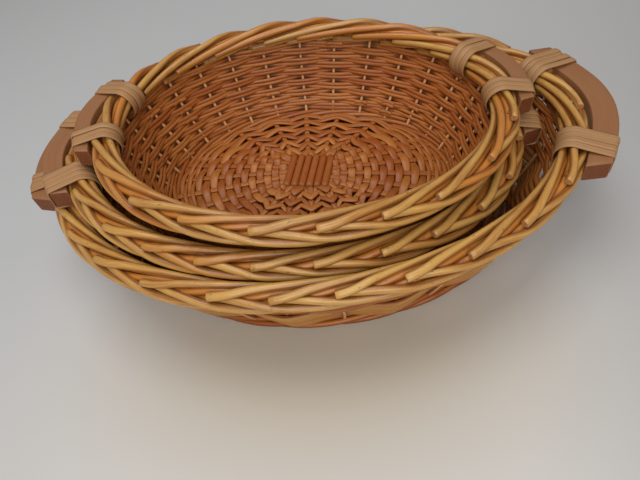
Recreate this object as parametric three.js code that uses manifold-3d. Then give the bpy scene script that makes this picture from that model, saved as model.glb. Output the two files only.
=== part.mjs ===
// A nest of three oval willow baskets with wooden handles lashed to their borders.
// Millimetres, +Z up. The origin is on the table under the middle of the nest, and +X runs along the
// length of the large basket. Each basket is built upright in its own group, and the smaller ones are then set
// inside the next: the medium one leans with one handle on the large border, and the small one stands
// in it with one end of its foot on the floor and its side against the medium border.
import * as THREE from 'three';
import { mergeVertices } from 'three/addons/utils/BufferGeometryUtils.js';
import Module from 'manifold-3d';

const wasm = await Module();
wasm.setup();

// Rims, measured on the middle line of the border
const RIM_HALF_LENGTH = 190;
const RIM_HALF_WIDTH = 139;
const MEDIUM_INSET_LENGTH = 30;
const MEDIUM_INSET_WIDTH = 22;
const SMALL_INSET_LENGTH = 18;
const SMALL_INSET_WIDTH = 8;
const FLARE_LENGTH = 24;
const FLARE_WIDTH = 20;
const LARGE_RIM_HEIGHT = 81;
const MEDIUM_RIM_HEIGHT = 60;
const SMALL_RIM_HEIGHT = 71;

// Weaving
const BORDER_RADIUS = 8.8;
const BORDER_SIDES = 10;
const SIDE_THICKNESS = 4.4;
const SIDE_INSET = 2;
const SIDE_BOW = 1.5;
const ROW_HEIGHT = 4.2;
const LARGE_STAKES = 30;
const MEDIUM_STAKES = 26;
const SMALL_STAKES = 24;
const LARGE_RELIEF = 2;
const MEDIUM_RELIEF = 1.6;
const SMALL_RELIEF = 1.6;
const FOOT_WIDTH = 10;
const FOOT_HEIGHT = 8;
const FOOT_ROUNDING = 2;
const FOOT_OVERHANG = 1.5;
const BASE_THICKNESS = 5;
const BASE_DOME = 6;

// Slath: short sticks side by side at the middle of the floor
const SLATH_STICKS = 6;
const SLATH_LENGTH = 35;
const STICK_RADIUS = 2.85;
const STICK_PITCH = 6.2;
const STICK_RISE = 0.8;

// Handles: crescents sawn straight across at the ends, with the lashings' places as a share of half their length
const LARGE_HANDLE_HALF = 66;
const LARGE_HANDLE_WIDTH = 17;
const LARGE_HANDLE_GAP = 3;
const LARGE_LASHING_SHARE = 0.66;
const MEDIUM_HANDLE_HALF = 45;
const MEDIUM_HANDLE_WIDTH = 14.5;
const MEDIUM_HANDLE_GAP = 1.5;
const MEDIUM_LASHING_SHARE = 0.66;
const SMALL_HANDLE_HALF = 41;
const SMALL_HANDLE_WIDTH = 12;
const SMALL_HANDLE_GAP = 1.5;
const SMALL_LASHING_SHARE = 0.6;
const HANDLE_THICKNESS = 14;
const HANDLE_END_TAPER = 3;
const HANDLE_END_GAP = 1.5;
const HANDLE_CHAMFER = 2;
const HANDLE_STEPS = 16;

// Places of the handles round the rim, in degrees towards the back
const LARGE_LEFT_ANGLE = 10;
const LARGE_RIGHT_ANGLE = 1;
const MEDIUM_LEFT_ANGLE = -3;
const MEDIUM_RIGHT_ANGLE = 14;
const SMALL_LEFT_ANGLE = 6;
const SMALL_RIGHT_ANGLE = 12;

// Lashings: split skein wound round handle and border
const LARGE_LASHING_TURNS = 3;
const MEDIUM_LASHING_TURNS = 4;
const SMALL_LASHING_TURNS = 3;
const SKEIN_WIDTH = 4.4;
const SKEIN_THICKNESS = 1.2;
const SKEIN_PITCH = 5;
const SKEIN_ARC_STEPS = 6;

// How the baskets lie in each other
const MEDIUM_TURN = 1.5;
const SMALL_TURN = 1.5;
const SMALL_LEAN = 1.5;
const MEDIUM_SET_BACK = -1;
const SMALL_SET_BACK = 0;
const MEDIUM_PLAY = 10;
const SMALL_PLAY = 1.6;

// Fits
const CLEARANCE = 0.3;
const SKEIN_CLEARANCE = 0.5;
const SLOT_SLACK = 1;

// Facets round the ovals
const WEAVE_SEGMENTS = 40;
const BORDER_SEGMENTS = 72;
const STICK_SIDES = 8;
const CUT_SEARCH_STEPS = 40;

const DEGREE = Math.PI / 180;
const FULL_TURN = 2 * Math.PI;
const MIRROR = { left: -1, right: 1 };

// Distance from the middle of the strip to the middle line of the border, with flats that clear the border
const SKEIN_OFFSET = SKEIN_CLEARANCE + SKEIN_THICKNESS / 2;
const SKEIN_ARC_RADIUS = (BORDER_RADIUS + SKEIN_OFFSET) / Math.cos(Math.PI / SKEIN_ARC_STEPS / 2);
const LASHED_RADIUS = SKEIN_ARC_RADIUS + SKEIN_THICKNESS / 2;
const BORDER_FLAT = BORDER_RADIUS * Math.cos(Math.PI / BORDER_SIDES);
const HANDLE_SEAT = BORDER_RADIUS + SKEIN_CLEARANCE;
const SIDE_BOTTOM = FOOT_HEIGHT + CLEARANCE;
const SLATH_HALF_X = ((SLATH_STICKS - 1) * STICK_PITCH) / 2 + STICK_RADIUS + CLEARANCE;

const BORDER_WILLOW = new THREE.MeshStandardMaterial({ color: 0xc69a52, roughness: 0.42, metalness: 0 });
const WOVEN_WILLOW = new THREE.MeshStandardMaterial({ color: 0xb87a40, roughness: 0.55, metalness: 0 });
const BASE_WILLOW = new THREE.MeshStandardMaterial({ color: 0xc08a4e, roughness: 0.55, metalness: 0 });
const HANDLE_WOOD = new THREE.MeshStandardMaterial({ color: 0x80492f, roughness: 0.5, metalness: 0 });
const SPLIT_SKEIN = new THREE.MeshStandardMaterial({ color: 0xc7a472, roughness: 0.6, metalness: 0 });

const LARGE = {
  name: 'large',
  rimX: RIM_HALF_LENGTH,
  rimY: RIM_HALF_WIDTH,
  height: LARGE_RIM_HEIGHT,
  handleHalf: LARGE_HANDLE_HALF,
  handleWidth: LARGE_HANDLE_WIDTH,
  handleGap: LARGE_HANDLE_GAP,
  handleAngle: { left: LARGE_LEFT_ANGLE * DEGREE, right: LARGE_RIGHT_ANGLE * DEGREE },
  lashingAt: LARGE_LASHING_SHARE * LARGE_HANDLE_HALF,
  lashingTurns: LARGE_LASHING_TURNS,
  stakes: LARGE_STAKES,
  relief: LARGE_RELIEF,
};
const MEDIUM = {
  name: 'medium',
  rimX: LARGE.rimX - MEDIUM_INSET_LENGTH,
  rimY: LARGE.rimY - MEDIUM_INSET_WIDTH,
  height: MEDIUM_RIM_HEIGHT,
  handleHalf: MEDIUM_HANDLE_HALF,
  handleWidth: MEDIUM_HANDLE_WIDTH,
  handleGap: MEDIUM_HANDLE_GAP,
  handleAngle: { left: MEDIUM_LEFT_ANGLE * DEGREE, right: MEDIUM_RIGHT_ANGLE * DEGREE },
  lashingAt: MEDIUM_LASHING_SHARE * MEDIUM_HANDLE_HALF,
  lashingTurns: MEDIUM_LASHING_TURNS,
  stakes: MEDIUM_STAKES,
  relief: MEDIUM_RELIEF,
};
const SMALL = {
  name: 'small',
  rimX: MEDIUM.rimX - SMALL_INSET_LENGTH,
  rimY: MEDIUM.rimY - SMALL_INSET_WIDTH,
  height: SMALL_RIM_HEIGHT,
  handleHalf: SMALL_HANDLE_HALF,
  handleWidth: SMALL_HANDLE_WIDTH,
  handleGap: SMALL_HANDLE_GAP,
  handleAngle: { left: SMALL_LEFT_ANGLE * DEGREE, right: SMALL_RIGHT_ANGLE * DEGREE },
  lashingAt: SMALL_LASHING_SHARE * SMALL_HANDLE_HALF,
  lashingTurns: SMALL_LASHING_TURNS,
  stakes: SMALL_STAKES,
  relief: SMALL_RELIEF,
};

const footX = (basket) => basket.rimX - FLARE_LENGTH;
const footY = (basket) => basket.rimY - FLARE_WIDTH;
const sideTop = (basket) => basket.height - BORDER_FLAT - CLEARANCE;
const lashingHalf = (basket) => (basket.lashingTurns * SKEIN_PITCH + SKEIN_WIDTH) / 2;
const handleReach = (basket) => basket.rimX + HANDLE_SEAT + basket.handleGap + basket.handleWidth;

// Signed volume of a closed triangle mesh: negative where its faces point inwards.
function signedVolume(points, index) {
  const edge = new THREE.Vector3();
  let volume = 0;
  for (let i = 0; i < index.length; i += 3) {
    edge.crossVectors(points[index[i + 1]], points[index[i + 2]]);
    volume += points[index[i]].dot(edge) / 6;
  }
  return volume;
}

// Skins a row of like-counted rings of points; an open row gets a flat cap at each end.
function loft(rings, closed) {
  const count = rings[0].length;
  const points = rings.flat();
  const index = [];
  const spans = closed ? rings.length : rings.length - 1;
  for (let i = 0; i < spans; i += 1) {
    const here = i * count;
    const next = ((i + 1) % rings.length) * count;
    for (let j = 0; j < count; j += 1) {
      const k = (j + 1) % count;
      index.push(here + j, next + j, next + k);
      index.push(here + j, next + k, here + k);
    }
  }
  if (!closed) {
    const end = points.length - count;
    for (let j = 1; j < count - 1; j += 1) {
      index.push(0, j, j + 1);
      index.push(end, end + j + 1, end + j);
    }
  }
  if (signedVolume(points, index) < 0) {
    index.reverse();
  }
  const geometry = new THREE.BufferGeometry().setFromPoints(points);
  geometry.setIndex(index);
  geometry.computeVertexNormals();
  return geometry;
}

// Sweeps a closed profile of [half length, half width, height] round the basket.
function ovalRing(profile) {
  const rings = [];
  for (let i = 0; i < WEAVE_SEGMENTS; i += 1) {
    const t = (i / WEAVE_SEGMENTS) * FULL_TURN;
    rings.push(profile.map(([x, y, z]) => new THREE.Vector3(x * Math.cos(t), y * Math.sin(t), z)));
  }
  return loft(rings, true);
}

// Point of the rim's middle line at an angle, with its outward direction.
function rimAt(basket, angle) {
  const outward = new THREE.Vector2(basket.rimY * Math.cos(angle), basket.rimX * Math.sin(angle)).normalize();
  return { x: basket.rimX * Math.cos(angle), y: basket.rimY * Math.sin(angle), outward };
}

// Angle reached after walking a distance along the rim.
function rimAngle(basket, start, distance) {
  const steps = 40;
  let angle = start;
  for (let i = 0; i < steps; i += 1) {
    const speed = Math.hypot(basket.rimX * Math.sin(angle), basket.rimY * Math.cos(angle));
    angle += distance / steps / speed;
  }
  return angle;
}

// Place by a handle on the given side: along the rim towards the back, out from the border's middle and
// up from it. The left side mirrors the right one.
function besideRim(basket, side, along, out, up) {
  const rim = rimAt(basket, rimAngle(basket, basket.handleAngle[side], along));
  const x = MIRROR[side] * (rim.x + out * rim.outward.x);
  return new THREE.Vector3(x, rim.y + out * rim.outward.y, basket.height + up);
}

// Inner edge of a handle from the border's middle: it is closest at the lashings and stands off between them
// and at the ends.
function handleInner(basket, along) {
  const past = Math.abs(along) / basket.lashingAt;
  if (past > 1) {
    const end = basket.handleHalf / basket.lashingAt;
    return HANDLE_SEAT + HANDLE_END_GAP * ((past - 1) / (end - 1)) ** 2;
  }
  return HANDLE_SEAT + basket.handleGap * (1 - past ** 2) ** 2;
}

function handleOuter(basket, along) {
  const share = along / basket.handleHalf;
  return handleInner(basket, along) + basket.handleWidth - HANDLE_END_TAPER * share ** 2;
}

// Place where one edge of a handle crosses a straight cut at a distance along the handle's chord.
function edgeAtCut(basket, side, edge, chord, cut) {
  let low = -2 * basket.handleHalf;
  let high = 2 * basket.handleHalf;
  let place;
  for (let i = 0; i < CUT_SEARCH_STEPS; i += 1) {
    const along = (low + high) / 2;
    place = besideRim(basket, side, along, edge(basket, along), 0);
    if (place.clone().sub(chord.middle).dot(chord.along) < cut) {
      low = along;
    } else {
      high = along;
    }
  }
  return place;
}

// Crescent of wood with chamfered edges, sawn straight across its chord at both ends.
function handle(basket, side) {
  const half = HANDLE_THICKNESS / 2;
  const rim = rimAt(basket, basket.handleAngle[side]);
  const outward = new THREE.Vector3(MIRROR[side] * rim.outward.x, rim.outward.y, 0);
  const along = new THREE.Vector3(-MIRROR[side] * rim.outward.y, rim.outward.x, 0);
  const chord = { middle: besideRim(basket, side, 0, 0, 0), along };
  const rings = [];
  for (let i = 0; i <= HANDLE_STEPS; i += 1) {
    const cut = basket.handleHalf * ((2 * i) / HANDLE_STEPS - 1);
    const inner = edgeAtCut(basket, side, handleInner, chord, cut);
    const outer = edgeAtCut(basket, side, handleOuter, chord, cut);
    const section = [
      [inner, HANDLE_CHAMFER, -half],
      [outer, -HANDLE_CHAMFER, -half],
      [outer, 0, -half + HANDLE_CHAMFER],
      [outer, 0, half - HANDLE_CHAMFER],
      [outer, -HANDLE_CHAMFER, half],
      [inner, HANDLE_CHAMFER, half],
      [inner, 0, half - HANDLE_CHAMFER],
      [inner, 0, -half + HANDLE_CHAMFER],
    ];
    rings.push(section.map(([edge, out, up]) => edge.clone().addScaledVector(outward, out).setZ(basket.height + up)));
  }
  return loft(rings, false);
}

// One loop of skein across the rim, as places of the strip's middle and the way its flat side faces.
// It starts under the handle, goes up round the handle's outer face and back round the border's inner face.
function skeinLoop(outer) {
  const half = HANDLE_THICKNESS / 2;
  const bend = HANDLE_CHAMFER / 2;
  const loop = [
    { out: outer - bend, up: -half - SKEIN_OFFSET, face: [0, -1] },
    { out: outer + SKEIN_OFFSET, up: -half + bend, face: [1, 0] },
    { out: outer + SKEIN_OFFSET, up: half - bend, face: [1, 0] },
    { out: outer - bend, up: half + SKEIN_OFFSET, face: [0, 1] },
  ];
  for (let i = 0; i <= SKEIN_ARC_STEPS; i += 1) {
    const angle = Math.PI / 2 + (Math.PI * i) / SKEIN_ARC_STEPS;
    const face = [Math.cos(angle), Math.sin(angle)];
    loop.push({ out: SKEIN_ARC_RADIUS * face[0], up: SKEIN_ARC_RADIUS * face[1], face });
  }
  return loop;
}

let leastSkeinGap = Infinity;

// Flat strip wound in one unbroken run round a handle and the border; end is 1 at the back, -1 at the front.
function lashing(basket, side, end) {
  const rings = [];
  const perTurn = skeinLoop(0).length;
  const start = end * basket.lashingAt - (basket.lashingTurns * SKEIN_PITCH) / 2;
  for (let i = 0; i <= basket.lashingTurns * perTurn; i += 1) {
    const along = start + (SKEIN_PITCH * i) / perTurn;
    const place = skeinLoop(handleOuter(basket, along))[i % perTurn];
    const corner = (across, through) =>
      besideRim(
        basket,
        side,
        along + (across * SKEIN_WIDTH) / 2,
        place.out + (through * place.face[0] * SKEIN_THICKNESS) / 2,
        place.up + (through * place.face[1] * SKEIN_THICKNESS) / 2,
      );
    rings.push([corner(-1, -1), corner(1, -1), corner(1, 1), corner(-1, 1)]);
  }
  leastSkeinGap = Math.min(leastSkeinGap, turnGap(rings, perTurn));
  return loft(rings, false);
}

// Least distance between the edges of neighbouring turns of one strip.
function turnGap(rings, perTurn) {
  let least = Infinity;
  for (let i = 0; i + perTurn < rings.length; i += 1) {
    for (const point of rings[i]) {
      for (const other of rings[i + perTurn]) {
        least = Math.min(least, point.distanceTo(other));
      }
    }
  }
  return least;
}

// Round plaited rim, swept along the rim's middle line with a flat underside that sits on the side weave.
function border(basket) {
  const rings = [];
  for (let i = 0; i < BORDER_SEGMENTS; i += 1) {
    const rim = rimAt(basket, (i / BORDER_SEGMENTS) * FULL_TURN);
    const ring = [];
    for (let j = 0; j < BORDER_SIDES; j += 1) {
      const angle = ((j + 0.5) / BORDER_SIDES) * FULL_TURN - Math.PI / 2;
      const out = BORDER_RADIUS * Math.cos(angle);
      const up = BORDER_RADIUS * Math.sin(angle);
      ring.push(new THREE.Vector3(rim.x + out * rim.outward.x, rim.y + out * rim.outward.y, basket.height + up));
    }
    rings.push(ring);
  }
  return loft(rings, true);
}

// Thick round of weaving that the basket stands on: flat below and above, rounded outside.
function footWale(basket) {
  const profile = [
    [-FOOT_WIDTH, 0],
    [-FOOT_ROUNDING, 0],
    [0, FOOT_ROUNDING],
    [0, FOOT_HEIGHT - FOOT_ROUNDING],
    [-FOOT_ROUNDING / 2, FOOT_HEIGHT],
    [-FOOT_WIDTH, FOOT_HEIGHT],
  ];
  return ovalRing(profile.map(([out, z]) => [footX(basket) + out, footY(basket) + out, z]));
}

// Solid of a geometry, for cutting.
function solidOf(geometry) {
  const bare = geometry.clone();
  bare.deleteAttribute('normal');
  bare.deleteAttribute('uv');
  const merged = mergeVertices(bare);
  const vertProperties = new Float32Array(merged.attributes.position.array);
  const triVerts = new Uint32Array(merged.index.array);
  return new wasm.Manifold(new wasm.Mesh({ numProp: 3, vertProperties, triVerts }));
}

function geometryOf(solid) {
  const mesh = solid.getMesh();
  const geometry = new THREE.BufferGeometry();
  geometry.setAttribute('position', new THREE.Float32BufferAttribute(mesh.vertProperties, 3));
  geometry.setIndex(Array.from(mesh.triVerts));
  geometry.computeVertexNormals();
  return geometry;
}

// Slot under the border where one lashing passes through the top of the side weave.
function lashingSlot(basket, side, end) {
  const rim = rimAt(basket, rimAngle(basket, basket.handleAngle[side], end * basket.lashingAt));
  const length = 2 * (lashingHalf(basket) + SLOT_SLACK);
  const floor = -LASHED_RADIUS - SKEIN_CLEARANCE;
  const across = 4 * SIDE_THICKNESS;
  const rise = BORDER_RADIUS;
  const box = new THREE.BoxGeometry(across, length, rise);
  const turned = new THREE.Matrix4().makeRotationZ(MIRROR[side] * Math.atan2(rim.outward.y, rim.outward.x));
  turned.setPosition(MIRROR[side] * rim.x, rim.y, basket.height + floor + rise / 2);
  return solidOf(box.applyMatrix4(turned));
}

// Outside of the side at a height: half its length, half its width and the height.
function sideAt(basket, height) {
  const share = (height - SIDE_BOTTOM) / (sideTop(basket) - SIDE_BOTTOM);
  const bow = SIDE_BOW * 4 * share * (1 - share);
  const topOut = SIDE_THICKNESS / 2 - SIDE_INSET;
  const x = THREE.MathUtils.lerp(footX(basket) - FOOT_OVERHANG, basket.rimX + topOut, share) + bow;
  const y = THREE.MathUtils.lerp(footY(basket) - FOOT_OVERHANG, basket.rimY + topOut, share) + bow;
  return [x, y, height];
}

// Flared, slightly bowed oval wall from the foot wale up to the border. At every stake its rows of weaving bulge
// out and in by turns, and at the next stake the other way round.
function sideWeave(basket) {
  const rows = Math.round((sideTop(basket) - SIDE_BOTTOM) / ROW_HEIGHT);
  const rowHeight = (sideTop(basket) - SIDE_BOTTOM) / rows;
  const rings = [];
  for (let stake = 0; stake < basket.stakes; stake += 1) {
    const t = (stake / basket.stakes) * FULL_TURN;
    const place = ([x, y, z], out) => new THREE.Vector3((x + out) * Math.cos(t), (y + out) * Math.sin(t), z);
    const outside = [place(sideAt(basket, SIDE_BOTTOM), 0)];
    const inside = [place(sideAt(basket, SIDE_BOTTOM), -SIDE_THICKNESS)];
    for (let row = 0; row < rows; row += 1) {
      const bulge = (stake + row) % 2 ? basket.relief : -basket.relief;
      const level = sideAt(basket, SIDE_BOTTOM + (row + 0.5) * rowHeight);
      outside.push(place(level, bulge));
      inside.push(place(level, bulge - SIDE_THICKNESS));
    }
    outside.push(place(sideAt(basket, sideTop(basket)), 0));
    inside.push(place(sideAt(basket, sideTop(basket)), -SIDE_THICKNESS));
    rings.push([...outside, ...inside.reverse()]);
  }
  let wall = solidOf(loft(rings, true));
  for (const side of ['left', 'right']) {
    for (const end of [-1, 1]) {
      wall = wall.subtract(lashingSlot(basket, side, end));
    }
  }
  return geometryOf(wall);
}

// Oval floor inside the foot wale, rising towards the middle and open there for the slath.
function baseWeave(basket) {
  const rimX = footX(basket) - FOOT_WIDTH - CLEARANCE;
  const rimY = footY(basket) - FOOT_WIDTH - CLEARANCE;
  const slathY = SLATH_LENGTH / 2 + CLEARANCE;
  const rings = [];
  for (let i = 0; i < WEAVE_SEGMENTS; i += 1) {
    const t = (i / WEAVE_SEGMENTS) * FULL_TURN;
    const x = Math.cos(t);
    const y = Math.sin(t);
    const square = Math.max(Math.abs(x), Math.abs(y));
    rings.push([
      new THREE.Vector3(rimX * x, rimY * y, FOOT_HEIGHT),
      new THREE.Vector3((SLATH_HALF_X * x) / square, (slathY * y) / square, FOOT_HEIGHT + BASE_DOME),
      new THREE.Vector3((SLATH_HALF_X * x) / square, (slathY * y) / square, FOOT_HEIGHT + BASE_DOME - BASE_THICKNESS),
      new THREE.Vector3(rimX * x, rimY * y, FOOT_HEIGHT - BASE_THICKNESS),
    ]);
  }
  return loft(rings, true);
}

function addMesh(group, name, geometry, material) {
  const mesh = new THREE.Mesh(geometry, material);
  mesh.name = name;
  group.add(mesh);
  return mesh;
}

// One whole basket, standing on z = 0.
function makeBasket(basket) {
  const group = new THREE.Group();
  const { name } = basket;
  for (let i = 0; i < SLATH_STICKS; i += 1) {
    const round = new THREE.CylinderGeometry(STICK_RADIUS, STICK_RADIUS, SLATH_LENGTH, STICK_SIDES);
    const stick = addMesh(group, `${name}_slath_stick_${i + 1}`, round, BASE_WILLOW);
    const x = (i - (SLATH_STICKS - 1) / 2) * STICK_PITCH;
    stick.position.set(x, 0, FOOT_HEIGHT + BASE_DOME + STICK_RISE - STICK_RADIUS);
  }
  addMesh(group, `${name}_base_weave`, baseWeave(basket), BASE_WILLOW);
  addMesh(group, `${name}_foot_wale`, footWale(basket), WOVEN_WILLOW);
  addMesh(group, `${name}_side_weave`, sideWeave(basket), WOVEN_WILLOW);
  addMesh(group, `${name}_border`, border(basket), BORDER_WILLOW);
  for (const side of ['left', 'right']) {
    addMesh(group, `${name}_handle_${side}`, handle(basket, side), HANDLE_WOOD);
    for (const [endName, end] of [['front', -1], ['back', 1]]) {
      addMesh(group, `${name}_lashing_${side}_${endName}`, lashing(basket, side, end), SPLIT_SKEIN);
    }
  }
  return group;
}

// How far a lashing's underside lies below the border's middle, at a distance out from it.
function skeinUnderside(basket, out) {
  const loop = skeinLoop(handleOuter(basket, basket.lashingAt));
  const share = Math.min(1, Math.abs(out) / loop[0].out);
  return THREE.MathUtils.lerp(SKEIN_ARC_RADIUS, -loop[0].up, share) + SKEIN_THICKNESS / 2;
}

// Height of a basket's floor at a distance from its middle along its length.
function floorHeight(basket, distance) {
  const edge = footX(basket) - FOOT_WIDTH - CLEARANCE;
  return FOOT_HEIGHT + BASE_DOME * Math.max(0, (edge - distance) / (edge - SLATH_HALF_X));
}

// Height of the outer floor under a basket's foot, when the basket is slid along and back.
function standingHeight(outer, inner, shift, setBack) {
  return floorHeight(outer, footX(inner) - FOOT_WIDTH - Math.abs(shift) - Math.abs(setBack)) + CLEARANCE;
}

// Lean of a basket whose left handle lies on the outer border while its right foot stands on the outer floor.
function ridingLean(outer, inner, shift, setBack) {
  const onBorder = outer.rimX + shift;
  const lever = onBorder + footX(inner);
  const rise = inner.height - skeinUnderside(inner, onBorder - inner.rimX);
  const floor = standingHeight(outer, inner, shift, setBack);
  const ridingHeight = outer.height + LASHED_RADIUS + CLEARANCE - floor;
  return Math.max(0, Math.asin(ridingHeight / Math.hypot(lever, rise)) - Math.atan2(rise, lever));
}

// Sets a basket inside the next one, standing on the lower end of its foot.
function nest(outer, inner, group, { shift, setBack, lean, turn }) {
  const floor = standingHeight(outer, inner, shift, setBack);
  group.rotation.set(0, lean, turn * DEGREE, 'ZYX');
  group.position.set(shift, setBack, floor + footX(inner) * Math.abs(Math.sin(lean)));
}

// The medium basket is slid left until its right handle drops inside the large border, and the small one right
// until its side meets the medium border.
const mediumShift = LARGE.rimX - LASHED_RADIUS - MEDIUM_PLAY - handleReach(MEDIUM);
const mediumLean = ridingLean(LARGE, MEDIUM, mediumShift, MEDIUM_SET_BACK);
const smallLean = -SMALL_LEAN * DEGREE;
const smallLevel = MEDIUM.height - FOOT_HEIGHT - 2 * footX(SMALL) * Math.abs(Math.sin(smallLean));
const smallShift = MEDIUM.rimX - LASHED_RADIUS - SMALL_PLAY - SMALL_RELIEF - sideAt(SMALL, smallLevel)[0];
const large = makeBasket(LARGE);
const medium = makeBasket(MEDIUM);
const small = makeBasket(SMALL);
nest(LARGE, MEDIUM, medium, {
  shift: mediumShift,
  setBack: MEDIUM_SET_BACK,
  lean: mediumLean,
  turn: MEDIUM_TURN,
});
nest(MEDIUM, SMALL, small, {
  shift: smallShift,
  setBack: SMALL_SET_BACK,
  lean: smallLean,
  turn: SMALL_TURN,
});
medium.add(small);
large.add(medium);

// The origin lies under the middle of the whole nest, whose handles reach a little further to one side.
const reach = new THREE.Box3().setFromObject(large);
large.position.x = -(reach.min.x + reach.max.x) / 2;
console.log(`least gap between turns of skein: ${leastSkeinGap.toFixed(2)} mm`);

export default large;
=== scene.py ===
"""Nest of three oval willow baskets: rods, strips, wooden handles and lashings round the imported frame."""

import math
import random

import bpy
import numpy as np
from bpy.props import FloatProperty, FloatVectorProperty, IntVectorProperty, PointerProperty
from mathutils import Matrix, Vector


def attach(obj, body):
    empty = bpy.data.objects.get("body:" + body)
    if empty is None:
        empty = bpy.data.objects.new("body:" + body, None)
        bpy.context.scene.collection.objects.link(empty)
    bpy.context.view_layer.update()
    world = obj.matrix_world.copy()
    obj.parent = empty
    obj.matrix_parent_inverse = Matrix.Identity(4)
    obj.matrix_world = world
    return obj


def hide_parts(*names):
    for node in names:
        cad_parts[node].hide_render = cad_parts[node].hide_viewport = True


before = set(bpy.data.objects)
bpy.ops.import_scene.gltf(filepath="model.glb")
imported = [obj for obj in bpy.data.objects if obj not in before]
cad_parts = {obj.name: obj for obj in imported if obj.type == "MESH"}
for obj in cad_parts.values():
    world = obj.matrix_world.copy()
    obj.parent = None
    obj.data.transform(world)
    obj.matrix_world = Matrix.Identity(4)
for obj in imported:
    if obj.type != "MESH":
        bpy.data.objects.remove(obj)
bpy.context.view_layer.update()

bl_info = {
    "name": "Willow basket nest",
    "version": (1, 0, 0),
    "blender": (4, 5, 0),
    "location": "View3D > Sidebar > Willow",
    "description": "Weaves three nested oval willow baskets with lashed wooden handles",
    "category": "Object",
}

MM = 0.001
FULL_TURN = 2 * math.pi
UP = np.array([0.0, 0.0, 1.0])
MIRROR = {"left": -1, "right": 1}
ENDS = {"front": -1, "back": 1}
SLATH_STICKS = 6
CAD_BORDER_SIDES = 10

# First random seed of each kind of piece
SEEDS = {"border": 100, "side": 200, "foot": 300, "floor": 400, "slath": 500, "handle": 600, "lashing": 700}

# Tones that mark the rods, from golden on the outer face and peeled pale through pale to ripe
BAND_TONE = (-1.0, -0.85)
STAKE_TONE = (-0.5, -0.3)
TIGHT_TONE = (0.0, 0.3)
SLATH_TONE = (0.75, 1.0)
# Core rods take the ripest tone throughout, a painted orange glow of light bounced between the border rods
CORE_GLOW_TONE = 1.0

# Each basket's own lengths in millimetres, handle angles in degrees, loops of a lashing, share of the
# weavers' swing, place of the first border rod in pitches and range of the border's tones
OWN = {
    "large": {
        "handle_half": 66.0, "handle_width": 17.0, "handle_gap": 3.0, "angle": {"left": 10.0, "right": 1.0},
        "lashing_at": 43.56, "loops": 4, "swing": 0.9, "first_rod": 0.08, "tones": (0.0, 0.65),
    },
    "medium": {
        "handle_half": 45.0, "handle_width": 14.5, "handle_gap": 1.5, "angle": {"left": -3.0, "right": 14.0},
        "lashing_at": 29.7, "loops": 4, "swing": 1.0, "first_rod": 0.53, "tones": (0.0, 0.75),
    },
    "small": {
        "handle_half": 41.0, "handle_width": 12.0, "handle_gap": 1.5, "angle": {"left": 6.0, "right": 12.0},
        "lashing_at": 24.6, "loops": 3, "swing": 1.0, "first_rod": 0.17, "tones": (0.25, 1.0),
    },
}


def node_points(node):
    """Corners of a CAD node in millimetres."""
    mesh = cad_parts[node].data
    flat = np.empty(3 * len(mesh.vertices))
    mesh.vertices.foreach_get("co", flat)
    return flat.reshape(-1, 3) / MM


def unit(vectors):
    """Vectors, or one vector, scaled to length 1."""
    return vectors / np.linalg.norm(vectors, axis=-1, keepdims=True)


def half_extents(points):
    """Half the length of each side of the points' box."""
    return (points.max(0) - points.min(0)) / 2


def middle_of(points):
    """Middle of the points' box."""
    return (points.max(0) + points.min(0)) / 2


def walked(line):
    """Distance walked along a line at each of its points."""
    steps = np.linalg.norm(np.diff(line, axis=0), axis=1)
    return np.concatenate([[0], np.cumsum(steps)])


def by_oval(half_x, half_y, angle, out):
    """Places in plan at a distance out from an oval, and the outward direction there."""
    outward = unit(np.stack([half_y * np.cos(angle), half_x * np.sin(angle)], -1))
    x = half_x * np.cos(angle) + out * outward[..., 0]
    y = half_y * np.sin(angle) + out * outward[..., 1]
    return x, y, outward


class Oval:
    """Oval line that is walked by the share of its length, from its right end towards the back."""

    STEPS = 1440

    def __init__(self, half_x, half_y):
        self.half_x = half_x
        self.half_y = half_y
        self.angles = np.linspace(0, FULL_TURN, self.STEPS + 1)
        self.walked = walked(np.stack([half_x * np.cos(self.angles), half_y * np.sin(self.angles)], 1))
        self.length = self.walked[-1]

    def angle(self, share):
        """Angle at a share of the way round, which may pass a full round."""
        rounds = np.floor(share)
        angle = np.interp((share - rounds) * self.length, self.walked, self.angles)
        return angle + rounds * FULL_TURN

    def share(self, angle):
        """Share of the way round at an angle."""
        rounds = np.floor(angle / FULL_TURN)
        return np.interp(angle - rounds * FULL_TURN, self.angles, self.walked) / self.length + rounds

    def places(self, share, out, up):
        """Places at a share of the way round, a distance out and a height."""
        x, y, _ = by_oval(self.half_x, self.half_y, self.angle(share), out)
        return np.stack([x, y, up + 0 * x], -1)


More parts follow.
